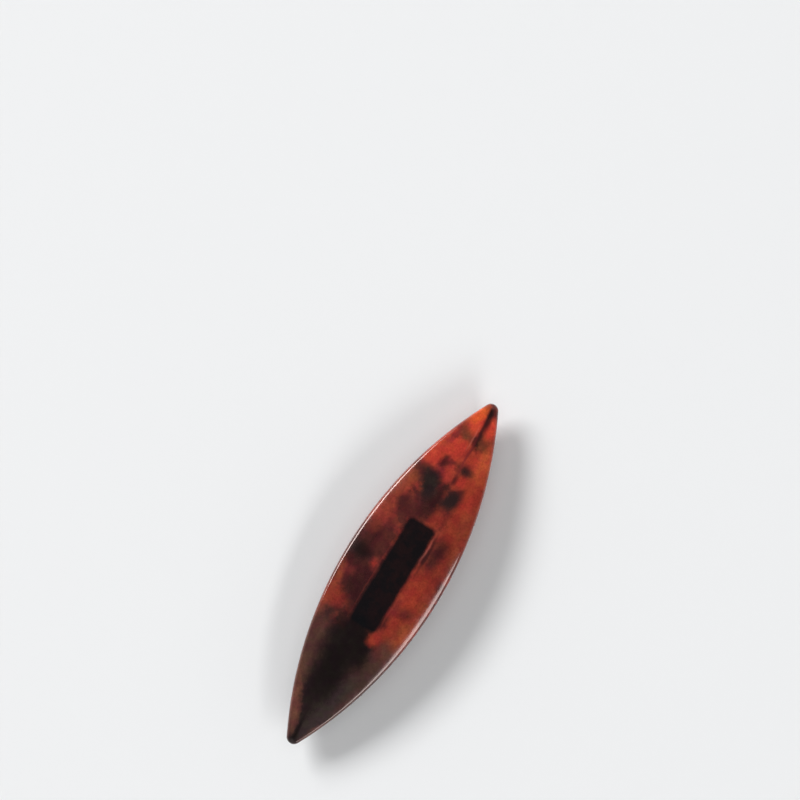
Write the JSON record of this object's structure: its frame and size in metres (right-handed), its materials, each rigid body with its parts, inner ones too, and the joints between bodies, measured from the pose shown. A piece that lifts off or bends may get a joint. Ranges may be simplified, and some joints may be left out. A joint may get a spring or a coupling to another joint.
{
  "type": "tatting shuttle",
  "caption": "Boat-shaped thread shuttle: domed blades that meet at the points, held apart by a central post with a cross hole for the thread.",
  "frame": {"origin": "middle of the post, on the plane where the points of the blades meet", "axes": "+X from point to point along the shuttle, +Y across the blades and along the thread hole, +Z from the lower blade to the upper one"},
  "size_m": [0.072, 0.0192, 0.0114],
  "materials": {
    "blade_plastic": "mottled translucent tortoiseshell, glossy",
    "post_plastic": "near-black, glossy"
  },
  "bodies": {
    "root": {"upper_blade": "blade_plastic", "lower_blade": "blade_plastic", "centre_post": "post_plastic"}
  },
  "joints": []
}
